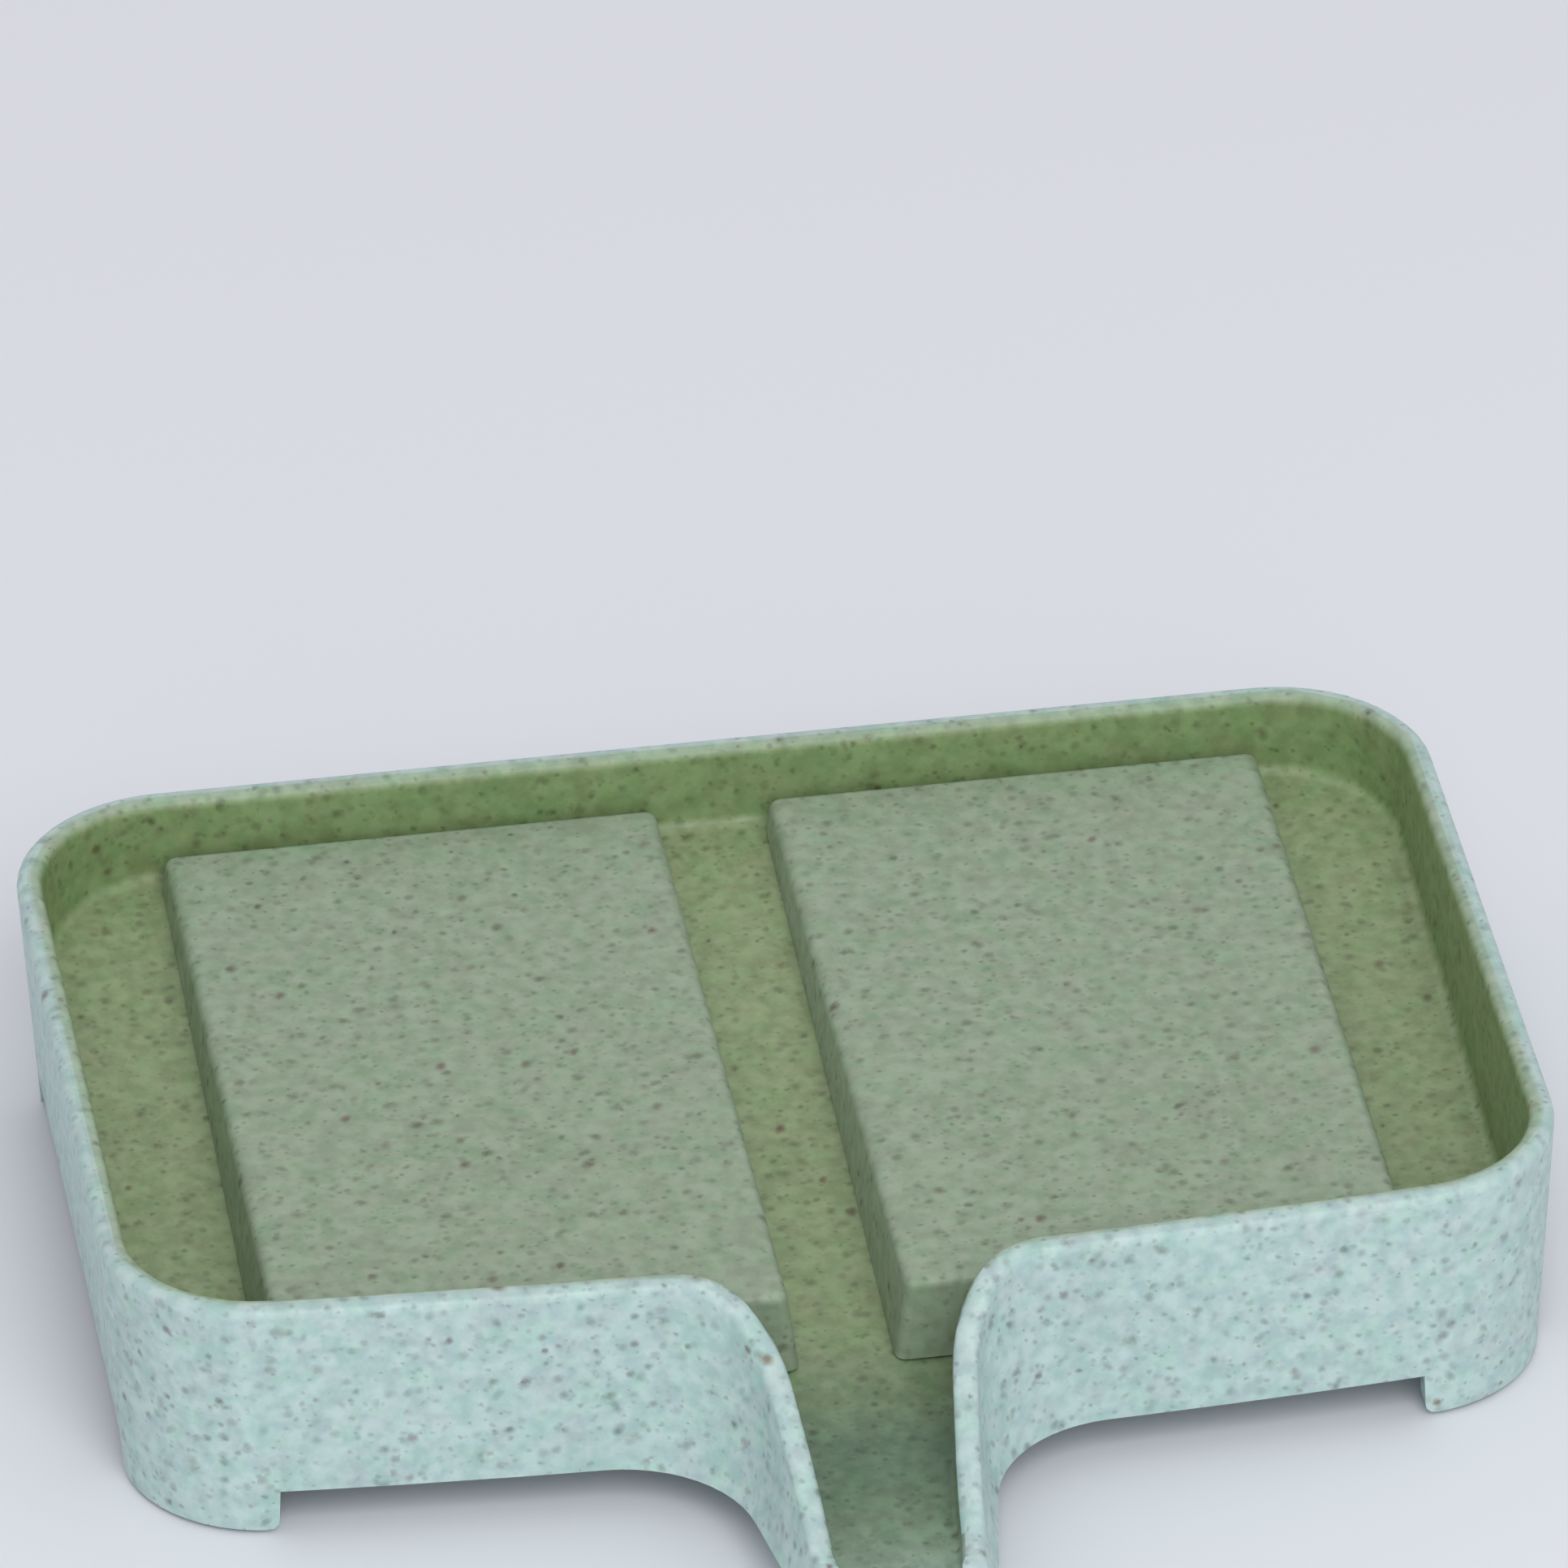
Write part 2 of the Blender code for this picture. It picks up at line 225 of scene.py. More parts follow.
# %% Node helpers
def plug(links, taken, given):
    """A plain value is written on the socket, and another socket is linked to it."""
    if isinstance(given, (float, tuple)):
        taken.default_value = given
    else:
        links.new(given, taken)


def calculated(nodes, links, operation, *values):
    """One sum on numbers."""
    node = nodes.new("ShaderNodeMath")
    node.operation = operation
    for slot, value in enumerate(values):
        plug(links, node.inputs[slot], value)
    return node.outputs[0]


def noise(nodes, links, vector, per_metre, detail):
    """Soft 3D noise, as a grey Fac and as a Color of three unlike greys."""
    node = nodes.new("ShaderNodeTexNoise")
    node.inputs["Scale"].default_value = per_metre
    node.inputs["Detail"].default_value = detail
    links.new(vector, node.inputs["Vector"])
    return node.outputs


def ranged(nodes, links, value, start, end, low=0.0, high=1.0, kind="LINEAR"):
    """A value between start and end becomes one between low and high."""
    node = nodes.new("ShaderNodeMapRange")
    node.interpolation_type = kind
    plug(links, node.inputs["Value"], value)
    plug(links, node.inputs["From Min"], start)
    plug(links, node.inputs["From Max"], end)
    plug(links, node.inputs["To Min"], low)
    plug(links, node.inputs["To Max"], high)
    return node.outputs[0]


def mixed(nodes, links, mask, below, above, blend="MIX"):
    """A colour mix, from below where mask is 0 to above where it is 1."""
    node = nodes.new("ShaderNodeMix")
    node.data_type = "RGBA"
    node.blend_type = blend
    for slot, value in ((0, mask), (6, below), (7, above)):
        plug(links, node.inputs[slot], value)
    return node.outputs[2]


def bumped(nodes, links, shader, height, strength, depth):
    """Relief too fine to model, which only the light sees."""
    bump = nodes.new("ShaderNodeBump")
    bump.inputs["Strength"].default_value = strength
    bump.inputs["Distance"].default_value = depth
    links.new(height, bump.inputs["Height"])
    links.new(bump.outputs[0], shader.inputs["Normal"])


def socket(group, name, kind, way, value=None):
    """An input or output of a node group."""
    made = group.interface.new_socket(name=name, in_out=way, socket_type=kind)
    if value is not None:
        made.default_value = value


print("Node helpers ready")

# %% [markdown]
# A fleck is a soft round spot in the middle of a cell of Voronoi noise. Finer noise first pushes
# each place a little way off, which gives the spots ragged outlines. Each cell's random colour then
# serves as three dice: whether the fleck is kept, how large it is and how strong. One group makes
# one layer, so that every material can place it several times.

# %% Fleck group
RAGGED_PER_METRE = 2600.0
RAGGED_REACH = 0.00035
SIZE_AT_LEAST, SIZE_SPREAD = 0.45, 0.9
STRENGTH_AT_LEAST, STRENGTH_SPREAD = 0.4, 0.6
SOLID_CORE = 0.12


def build_fleck_group():
    """Scattered soft bits: a mask that is 1 in a fleck and 0 between flecks."""
    group = bpy.data.node_groups.new("straw_flecks", "ShaderNodeTree")
    socket(group, "Vector", "NodeSocketVector", "INPUT")
    socket(group, "Per Metre", "NodeSocketFloat", "INPUT", 900.0)
    socket(group, "Share", "NodeSocketFloat", "INPUT", 0.5)
    socket(group, "Size", "NodeSocketFloat", "INPUT", 0.25)
    socket(group, "Mask", "NodeSocketFloat", "OUTPUT")
    nodes, links = group.nodes, group.links
    enter = nodes.new("NodeGroupInput")
    leave = nodes.new("NodeGroupOutput")

    ragged = noise(nodes, links, enter.outputs["Vector"], RAGGED_PER_METRE, 1.0)
    shift = nodes.new("ShaderNodeVectorMath")
    shift.operation = "MULTIPLY_ADD"
    shift.inputs[1].default_value = (RAGGED_REACH, RAGGED_REACH, RAGGED_REACH)
    links.new(ragged["Color"], shift.inputs[0])
    links.new(enter.outputs["Vector"], shift.inputs[2])
    cells = nodes.new("ShaderNodeTexVoronoi")
    cells.feature = "F1"
    links.new(shift.outputs[0], cells.inputs["Vector"])
    links.new(enter.outputs["Per Metre"], cells.inputs["Scale"])

    dice = nodes.new("ShaderNodeSeparateColor")
    links.new(cells.outputs["Color"], dice.inputs[0])
    kept = calculated(nodes, links, "LESS_THAN", dice.outputs[0], enter.outputs["Share"])
    grown = calculated(nodes, links, "MULTIPLY_ADD", dice.outputs[1], SIZE_SPREAD, SIZE_AT_LEAST)
    strength = calculated(nodes, links, "MULTIPLY_ADD", dice.outputs[2], STRENGTH_SPREAD,
                          STRENGTH_AT_LEAST)

    radius = calculated(nodes, links, "MULTIPLY", grown, enter.outputs["Size"])
    core = calculated(nodes, links, "MULTIPLY", radius, SOLID_CORE)
    fade = ranged(nodes, links, cells.outputs["Distance"], core, radius, 1.0, 0.0, "SMOOTHSTEP")
    shown = calculated(nodes, links, "MULTIPLY", kept, fade)
    links.new(calculated(nodes, links, "MULTIPLY", shown, strength), leave.inputs["Mask"])
    return group


FLECKS = build_fleck_group()
print("Group", FLECKS.name, "has", len(FLECKS.nodes), "nodes")

# %% [markdown]
# The mould's inside is spark-eroded, which leaves a very fine matt skin with slow waves in it. A
# second group gives that skin as a height, for the bump, and as a small change in roughness.

# %% Moulded skin group
GRAIN_PER_METRE = 3800.0
WAVES_PER_METRE = 900.0
WAVE_HEIGHT = 0.6
WAVE_LOW, WAVE_HIGH = 0.3, 0.7


def build_skin_group():
    """Fine matt grain over slow waves: a height and a roughness."""
    group = bpy.data.node_groups.new("moulded_skin", "ShaderNodeTree")
    socket(group, "Vector", "NodeSocketVector", "INPUT")
    socket(group, "Smoothest", "NodeSocketFloat", "INPUT", 0.4)
    socket(group, "Roughest", "NodeSocketFloat", "INPUT", 0.52)
    socket(group, "Height", "NodeSocketFloat", "OUTPUT")
    socket(group, "Roughness", "NodeSocketFloat", "OUTPUT")
    nodes, links = group.nodes, group.links
    enter = nodes.new("NodeGroupInput")
    leave = nodes.new("NodeGroupOutput")
    grain = noise(nodes, links, enter.outputs["Vector"], GRAIN_PER_METRE, 2.0)["Fac"]
    waves = noise(nodes, links, enter.outputs["Vector"], WAVES_PER_METRE, 2.0)["Fac"]
    height = calculated(nodes, links, "MULTIPLY_ADD", waves, WAVE_HEIGHT, grain)
    links.new(height, leave.inputs["Height"])
    roughness = ranged(nodes, links, waves, WAVE_LOW, WAVE_HIGH,
                       enter.outputs["Smoothest"], enter.outputs["Roughest"])
    links.new(roughness, leave.inputs["Roughness"])
    return group


SKIN = build_skin_group()
print("Group", SKIN.name, "has", len(SKIN.nodes), "nodes")

# %% [markdown]
# Each plastic starts as a cloudy tone. The tray is mint all through. Light that falls into the tray
# bounces from wall to wall and comes out deeper and warmer, so its inside gets painted shade and
# bounce light: sage on the floor, a deeper olive shade on the walls and a cooler painted shadow
# along the spout. Painted attributes say where each tone goes: 0 is none of it and 1 is all of it.
# Slow green and rose tinges keep large faces from looking flat.

# %% Tones
MINT = (paint(185, 208, 205), paint(165, 191, 190))
# The sage tone is painted shade and bounce light for the tray's inside, laid over the mint plastic.
SAGE_SHADE = (paint(149, 167, 127), paint(131, 149, 109))
# The olive tone is a deeper painted shade on the inner walls.
OLIVE_WALL_SHADE = (paint(128, 151, 104), paint(114, 136, 90))
# The spout's green is a painted shadow along the spout's floor and walls.
SPOUT_SHADOW_GREEN = (paint(108, 134, 109), paint(93, 117, 94))
# The platforms' green is the mint plastic with painted shade and bounce light.
PLATFORM_SHADE_GREEN = (paint(151, 168, 145), paint(135, 153, 129))
CLOUDS_PER_METRE = 620.0
CLOUD_LOW, CLOUD_HIGH = 0.36, 0.64
GREEN_TINGE = (0.92, 1.0, 0.94, 1.0)
ROSE_TINGE = (1.0, 0.94, 0.965, 1.0)
DRIFTS_PER_METRE = 330.0
DRIFT_LOW, DRIFT_HIGH = 0.45, 0.68


def toned(nodes, links, place, tones):
    """Each tone is a pale and a deep colour, laid on where its attribute is painted."""
    clouds = noise(nodes, links, place, CLOUDS_PER_METRE, 3.0)["Fac"]
    cloudy = ranged(nodes, links, clouds, CLOUD_LOW, CLOUD_HIGH)
    colour = None
    for attribute, (pale, deep) in tones:
        tone = mixed(nodes, links, cloudy, deep, pale)
        if attribute:
            painted = nodes.new("ShaderNodeAttribute")
            painted.attribute_name = attribute
            tone = mixed(nodes, links, painted.outputs["Fac"], colour, tone)
        colour = tone
    return colour


def tinged(nodes, links, place, colour):
    """Slow drifts of green and rose over the colour."""
    drift = noise(nodes, links, place, DRIFTS_PER_METRE, 2.0)["Color"]
    parts = nodes.new("ShaderNodeSeparateColor")
    links.new(drift, parts.inputs[0])
    for part, tinge in ((0, GREEN_TINGE), (1, ROSE_TINGE)):
        amount = ranged(nodes, links, parts.outputs[part], DRIFT_LOW, DRIFT_HIGH, kind="SMOOTHSTEP")
        colour = mixed(nodes, links, amount, colour, tinge, "MULTIPLY")
    return colour


print("Pale mint in linear light:", [round(value, 3) for value in MINT[0]])

# %% [markdown]
# Straw darkens the plastic over it, so each layer of flecks is multiplied over the colour and takes
# the light and dark of the tone with it. Every layer has its own turn, stretch and spacing: small
# soft bits lie close together, long dark ones run two ways, and rose and brown ones are rare.

# %% Layers of flecks
SOFT_FLECK = (0.42, 0.36, 0.345, 1.0)
DARK_FLECK = (0.19, 0.145, 0.13, 1.0)
ROSE_FLECK = (0.36, 0.13, 0.16, 1.0)
BROWN_FLECK = (0.42, 0.27, 0.20, 1.0)
PALE_FLECK = (1.22, 1.14, 1.08, 1.0)
# Tint, depth of the tint, turn, stretch, cells to the metre, share of cells kept, size in its cell
FLECK_LAYERS = (
    (PALE_FLECK, 0.6, (0.3, 0.9, 0.2), (1, 1, 1), 480.0, 0.45, 0.3),
    (SOFT_FLECK, 0.58, (0.1, 0.4, 0.2), (1, 1, 1), 700.0, 0.8, 0.42),
    (SOFT_FLECK, 0.62, (0.6, 0.5, 0.1), (1.3, 1, 1), 1150.0, 0.7, 0.34),
    (DARK_FLECK, 0.6, (0.7, 0.2, 0.5), (1.2, 1, 1), 560.0, 0.38, 0.32),
    (DARK_FLECK, 0.5, (0.2, 0.8, 0.8), (2.2, 1, 1), 560.0, 0.35, 0.26),
    (DARK_FLECK, 0.5, (0.4, -0.7, -0.7), (2.2, 1, 1), 520.0, 0.35, 0.26),
    (ROSE_FLECK, 0.8, (0.2, 0.1, 1.1), (1.3, 1, 1), 400.0, 0.3, 0.25),
    (BROWN_FLECK, 0.95, (0.9, 0.3, -0.4), (1.2, 1, 1), 300.0, 0.16, 0.21),
)


def fleck_layer(nodes, links, place, turn, stretch, per_metre, share, size):
    """One placing of the fleck group, stretched in its own direction."""
    mapping = nodes.new("ShaderNodeMapping")
    mapping.vector_type = "TEXTURE"
    mapping.inputs["Rotation"].default_value = turn
    mapping.inputs["Scale"].default_value = stretch
    links.new(place, mapping.inputs["Vector"])
    flecks = nodes.new("ShaderNodeGroup")
    flecks.node_tree = FLECKS
    links.new(mapping.outputs[0], flecks.inputs["Vector"])
    flecks.inputs["Per Metre"].default_value = per_metre
    flecks.inputs["Share"].default_value = share
    flecks.inputs["Size"].default_value = size
    return flecks.outputs["Mask"]


def flecked(nodes, links, place, colour):
    """Every layer of flecks over the colour."""
    for tint, depth, *placing in FLECK_LAYERS:
        mask = fleck_layer(nodes, links, place, *placing)
        weight = calculated(nodes, links, "MULTIPLY", mask, depth)
        colour = mixed(nodes, links, weight, colour, tint, "MULTIPLY")
    return colour


print("Layers of flecks:", len(FLECK_LAYERS))

# %% [markdown]
# A material joins these steps. The tray's plastic starts from mint and lays the painted shade tones
# over it. A platform is one green all over, the mint with painted shade and bounce light, so it
# needs no painted attributes.

# %% Straw plastic
SKIN_STRENGTH = 0.35
SKIN_DEPTH = 0.00006
PLASTIC_IOR = 1.46


def straw_plastic(name, tones):
    """Flecked plastic with a fine moulded skin."""
    material = bpy.data.materials.new(name)
    material.use_nodes = True
    nodes, links = material.node_tree.nodes, material.node_tree.links
    shader = nodes["Principled BSDF"]
    place = nodes.new("ShaderNodeTexCoord").outputs["Object"]
    colour = toned(nodes, links, place, tones)
    colour = tinged(nodes, links, place, colour)
    colour = flecked(nodes, links, place, colour)
    links.new(colour, shader.inputs["Base Color"])

    skin = nodes.new("ShaderNodeGroup")
    skin.node_tree = SKIN
    links.new(place, skin.inputs["Vector"])
    links.new(skin.outputs["Roughness"], shader.inputs["Roughness"])
    bumped(nodes, links, shader, skin.outputs["Height"], SKIN_STRENGTH, SKIN_DEPTH)
    shader.inputs["IOR"].default_value = PLASTIC_IOR
    return material


# Over the mint, the tray's inside tones are painted shade and bounce light, each where its
# attribute is painted.
TRAY_TONES = ((None, MINT), ("inside", SAGE_SHADE), ("inner_wall_shade", OLIVE_WALL_SHADE), ("spout_shadow", SPOUT_SHADOW_GREEN))
tray_plastic = straw_plastic("tray_straw_plastic", TRAY_TONES)
# The platforms carry one painted shade green all over.
platform_plastic = straw_plastic("platform_straw_plastic", ((None, PLATFORM_SHADE_GREEN),))
print("Plastics:", tray_plastic.name, platform_plastic.name)

# %% [markdown]
# ## Modelling helpers
# An operator acts on whatever is selected, so each piece starts from a clean selection, and faces
# are then picked by their place or normal. Every finished piece ends the same way, so one helper
# smooths it, keeps its flat faces flat, gives it its material, hangs it on its body and hides the
# CAD node it stands for.

# %% Helpers
SMOOTH_WITHIN = radians(35)


def start_clean():
    if bpy.context.object and bpy.context.object.mode != "OBJECT":
        bpy.ops.object.mode_set(mode="OBJECT")
    bpy.ops.object.select_all(action="DESELECT")


def take(piece):
    """Only this piece is selected and active."""
    start_clean()
    piece.select_set(True)
    bpy.context.view_layer.objects.active = piece


def settle(piece):
    """The place, turn and scale go into the mesh, and the object ends up at the origin."""
    take(piece)
    bpy.ops.object.transform_apply(location=True, rotation=True, scale=True)


def finish_piece(piece, material, body, node):
    """Smooth faces with sharp corners, the finish, the body, and the CAD node it stands for hidden.
    """
    take(piece)
    bpy.ops.object.shade_smooth_by_angle(angle=SMOOTH_WITHIN)
    lean = piece.modifiers.new("flat_faces_stay_flat", "WEIGHTED_NORMAL")
    lean.keep_sharp = True
    bpy.ops.object.modifier_apply(modifier=lean.name)
    piece.data.materials.clear()
    piece.data.materials.append(material)
    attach(piece, body)
    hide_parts(node)


print("Modelling helpers ready")

# %% [markdown]
# ## The tray
# The tray is one moulding: wall, floor, skirt, feet and spout. Its walls are swept along an outline
# that no primitive comes near, so the way that keeps every dimension is to work on a copy of the
# CAD node. The copy's loose triangles are joined, then the flat ones are dissolved back into plain
# faces. Level cuts are added to the walls, so that painted shade can fade over them.

# %% Tray body
MERGE_REACH = 0.00001
FLAT_WITHIN = radians(0.5)
WALL_CUTS = (0.0235, 0.0231, 0.0227, 0.0210, 0.0190, 0.0165, 0.0140, 0.0115, 0.0095)

tray_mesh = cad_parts["tray"].data.copy()
tray_mesh.name = "tray_shell"
tray = bpy.data.objects.new("tray_shell", tray_mesh)
bpy.context.scene.collection.objects.link(tray)
take(tray)
bpy.ops.object.mode_set(mode="EDIT")
bpy.ops.mesh.select_all(action="SELECT")
bpy.ops.mesh.remove_doubles(threshold=MERGE_REACH)
bpy.ops.mesh.dissolve_limited(angle_limit=FLAT_WITHIN)
for height in WALL_CUTS:
    bpy.ops.mesh.select_all(action="SELECT")
    bpy.ops.mesh.bisect(plane_co=(0, 0, height), plane_no=(0, 0, 1))
bpy.ops.object.mode_set(mode="OBJECT")
print("Tray:", len(tray.data.vertices), "vertices,", len(tray.data.polygons), "faces")

# %% [markdown]
# The floor is one large face, and painted shade can only fade between points. So the floor alone
# is cut across every 3 mm, from just behind the mouth to the spout's tip.

# %% Cuts across the floor
FLOOR_REACH = 0.0004
FLOOR_CUTS = [-0.018 - 0.003 * step for step in range(13)]


def is_floor(face):
    off_plane = abs(face.center.z - floor_height(face.center.y))
    return face.normal.z > 0.9 and off_plane < FLOOR_REACH


def cut_floor(piece, lines):
    take(piece)
    bpy.ops.object.mode_set(mode="EDIT")
    bpy.ops.mesh.select_mode(type="FACE")
    for y in lines:
        bpy.ops.mesh.select_all(action="DESELECT")
        bpy.ops.object.mode_set(mode="OBJECT")
        for face in piece.data.polygons:
            face.select = is_floor(face)
        bpy.ops.object.mode_set(mode="EDIT")
        bpy.ops.mesh.bisect(plane_co=(0, y, 0), plane_no=(0, 1, 0))
    bpy.ops.object.mode_set(mode="OBJECT")


cut_floor(tray, FLOOR_CUTS)
print("Floor cut at y in mm:", [round(1000 * y) for y in FLOOR_CUTS])

# %% [markdown]
# To paint shade on the inside, each face is first sorted by its place and normal. Walls stand above
# the floor and face the middle. Pegs are the small posts that the platforms drop over. The rim's
# top is a narrow flat band that tips only along its own length, where the rim falls to the spout.

# %% Kinds of faces
BELOW_FLOOR_ALLOWED = 0.0002
PEG_LIMIT_X = 0.052
PEG_FRONT_Y, PEG_BACK_Y = -0.0256, 0.053
PEG_LOWEST, PEG_HIGHEST = 0.00005, 0.0022
RIM_LOWEST = 0.0012
NEARLY_LEVEL = 0.97
RIM_NORMAL_Z = 0.7
RIM_SIDE_TIP = 0.12


def above_floor(face):
    return face.center.z - floor_height(face.center.y)


def is_peg(face):
    clear_of_walls = (abs(face.center.x) < PEG_LIMIT_X
                      and PEG_FRONT_Y < face.center.y < PEG_BACK_Y)
    return clear_of_walls and PEG_LOWEST < above_floor(face) < PEG_HIGHEST


def is_inner_wall(face):
    across, along = face.normal.x, face.normal.y
    toward = across * -face.center.x + along * (TRAY_MIDDLE.y - face.center.y)
    faces_middle = abs(face.normal.z) < NEARLY_LEVEL and toward > 0
    return faces_middle and above_floor(face) > -BELOW_FLOOR_ALLOWED


def is_rim_top(mesh, face):
    if face.normal.z < RIM_NORMAL_Z or above_floor(face) < RIM_LOWEST:
        return False
    points = [mesh.vertices[index].co for index in face.vertices]
    edges = (b - a for a, b in zip(points, points[1:] + points[:1]))
    along = max(edges, key=lambda edge: edge.length)
    side_tip = abs(face.normal.x * along.y - face.normal.y * along.x)
    return side_tip < RIM_SIDE_TIP * along.length


faces = tray.data.polygons
pegs = {face.index for face in faces if is_peg(face)}
walls = {face.index for face in faces if is_inner_wall(face)} - pegs
tops = {face.index for face in faces if is_rim_top(tray.data, face)} - walls - pegs
print("Faces on the inner walls, the rim's top and the pegs:", len(walls), len(tops), len(pegs))

# %% [markdown]
# How much painted shade a wall takes depends on how far it lies below the rim, and the rim falls
# toward the spout. So each point of a wall looks up the height of the nearest edge on the rim's
# top.


# %% Depth below the rim
def share_of(value, whole):
    """How far value has come from 0 to whole, from 0 to 1."""
    return min(max(value / whole, 0), 1)


def rim_level(point, rim_edges):
    """Height of the rim at the place beside this point."""
    best = None
    for start, end in rim_edges:
        run = (end - start).xy
        share = share_of((point - start).xy.dot(run), run.length_squared)
        distance = (start.xy + run * share - point.xy).length
        if best is None or distance < best[0]:
            best = (distance, start.z + (end.z - start.z) * share)
    return best[1]


points = tray.data.vertices
wall_points = {index for wall in walls for index in faces[wall].vertices}
rim_keys = {key for top in tops for key in faces[top].edge_keys}
rim_edges = [(points[a].co, points[b].co) for a, b in rim_keys]
depths = {index: rim_level(points[index].co, rim_edges) - points[index].co.z
          for index in wall_points}
print("Deepest wall point below the rim, in mm:", round(1000 * max(depths.values()), 1))

# %% [markdown]
# The painted shade attributes are laid per face corner, so that they can jump at the sharp edge of
# the spout's tip. The painted shade starts on the rim itself: its outer round stays mint and its
# inner half already takes part of the sage shade. The olive wall shade ends where the spout starts,
# and all the painted shade thins toward the tip.

# %% Paint shade on the inside
SPOUT_START_Y, SPOUT_FADE = -0.030, 0.006
# Where the spout's painted shadow starts and how fast it grows.
RUN_START_Y, RUN_FADE = -0.020, 0.016
TIP_START_Y, TIP_FADE = -0.041, 0.0145
RIM_FADE = 0.0009
# How fast the olive painted shade grows below the rim.
OLIVE_FADE = 0.0012
FOOT_FADE = 0.0006
# The painted shade thins toward the spout's tip, where more light falls.
PALER_AT_TIP = 0.6
# How much the spout's painted shadow thins at the tip.
RUN_PALER_AT_TIP = 0.5
# Shares of the sage painted shade on the rim's inner and outer edges.
RIM_INNER_SHADE = 0.6
RIM_OUTER_SHADE = 0.15

# Painted shade masks: sage shade inside, olive shade on the walls and the spout's painted shadow.
for name in ("inside", "inner_wall_shade", "spout_shadow"):
    tray.data.attributes.new(name, "FLOAT", "CORNER")
inside = tray.data.attributes["inside"].data
inner_wall_shade = tray.data.attributes["inner_wall_shade"].data
spout_shadow = tray.data.attributes["spout_shadow"].data


def paint_wall(corner, point, depth, in_spout, toward_tip, run):
    below_rim = share_of(depth, RIM_FADE)
    rise = share_of(point.z - floor_height(point.y), FOOT_FADE)
    # Painted shade on a wall: the sage shade rises from part at the rim to full below it, and from
    # none in the spout.
    tray_shade_share = RIM_INNER_SHADE + (1 - RIM_INNER_SHADE) * below_rim
    shade_share = (1 - in_spout) * tray_shade_share + in_spout * below_rim
    inside[corner].value = shade_share * (1 - PALER_AT_TIP * toward_tip)
    # Olive painted shade on the wall: deeper below the rim, none at the wall's foot or in the
    # spout.
    inner_wall_shade[corner].value = (1 - in_spout) * rise * share_of(depth, OLIVE_FADE)
    # The spout's painted shadow on the wall below the rim.
    spout_shadow[corner].value = run * below_rim


def paint_face(face):
    for corner in face.loop_indices:
        vertex = tray.data.loops[corner].vertex_index
        point = points[vertex].co
        in_spout = share_of(SPOUT_START_Y - point.y, SPOUT_FADE)
        # How far toward the tip, where the painted shade thins.
        toward_tip = share_of(TIP_START_Y - point.y, TIP_FADE)
        # run is the share of the spout's painted shadow, thinner near the tip.
        run = share_of(RUN_START_Y - point.y, RUN_FADE) * (1 - RUN_PALER_AT_TIP * toward_tip)
        if face.index in walls:
            paint_wall(corner, point, depths[vertex], in_spout, toward_tip, run)
        elif face.index in pegs:
            # Pegs take the full sage painted shade.
            inside[corner].value = 1.0
        elif is_floor(face):
            # The floor takes the sage painted shade, thinner toward the tip.
            inside[corner].value = 1 - PALER_AT_TIP * toward_tip
            # The spout's painted shadow on the floor.
            spout_shadow[corner].value = run
        elif face.index in tops:
            # The rim's top takes part of the sage painted shade, more at its inner edge.
            tint = RIM_INNER_SHADE if vertex in wall_points else RIM_OUTER_SHADE
            inside[corner].value = (1 - in_spout) * tint


for face in faces:
    paint_face(face)
print("Mean of the inside paint:", round(sum(item.value for item in inside) / len(inside), 3))

# %% [markdown]
# The tray is now dressed: its curves are smoothed, its flat faces are kept flat, and it takes the
# place of the CAD node that it was copied from.

# %% Finish the tray
finish_piece(tray, tray_plastic, "tray_body", "tray")
print("Tray box in mm:", [round(1000 * side, 1) for side in tray.dimensions])

# %% [markdown]
# ## The platforms
# Each platform is a hollow block that sits on the sloping floor. It is made as a joiner would: a
# block a little too large is sawn to the slopes with bisect. Its sides lean outwards toward the
# floor, so that it comes out of its mould.

# %% Platform blocks
PLATFORM_INNER_X = 0.0053
PLATFORM_OUTER_X = 0.0504
PLATFORM_FRONT_Y = -0.025435
PLATFORM_REAR_Y = 0.052702
PLATFORM_BACK_TOP = 0.0202
PLATFORM_FALL = tan(radians(1.5))
PLATFORM_DRAFT = tan(radians(7.0))
ROUGH_WIDTH = 0.07
ROUGH_HEIGHT = 0.03
SEAT_GAP = 0.0003


def platform_top(y):
    return PLATFORM_BACK_TOP - PLATFORM_FALL * (BACK_Y - y)


def cut_plane(point, normal):
    """Everything on the side that the normal points to is cut away and the cut is closed."""
    bpy.ops.mesh.select_all(action="SELECT")
    bpy.ops.mesh.bisect(plane_co=point, plane_no=normal, use_fill=True, clear_outer=True)


def sawn_block(name, side, shell, below):
    """A block on the floor's slope, taken in all round by shell and let down by below."""
    front = PLATFORM_FRONT_Y + shell
    rear = PLATFORM_REAR_Y - shell
    middle = (PLATFORM_INNER_X + PLATFORM_OUTER_X) / 2
    start_clean()
    bpy.ops.mesh.primitive_cube_add(
        size=1,
        location=(side * middle, (front + rear) / 2, ROUGH_HEIGHT / 2),
        scale=(ROUGH_WIDTH, rear - front, ROUGH_HEIGHT),
    )
    block = bpy.context.object
    block.name = name
    settle(block)
    bpy.ops.object.mode_set(mode="EDIT")
    top = platform_top(front) - shell
    cut_plane((0, front, top), (0, -PLATFORM_FALL, 1))
    cut_plane((0, front, floor_height(front) + SEAT_GAP - below), (0, FLOOR_SLOPE, -1))
    # Each side plane turns a little with the tipped top, which keeps its upper edge at one x
    lean = (-PLATFORM_DRAFT * PLATFORM_FALL, PLATFORM_DRAFT)
    for x, way in ((PLATFORM_INNER_X + shell, -1), (PLATFORM_OUTER_X - shell, 1)):
        cut_plane((side * x, front, top), (side * way, *lean))
    bpy.ops.object.mode_set(mode="OBJECT")
    return block


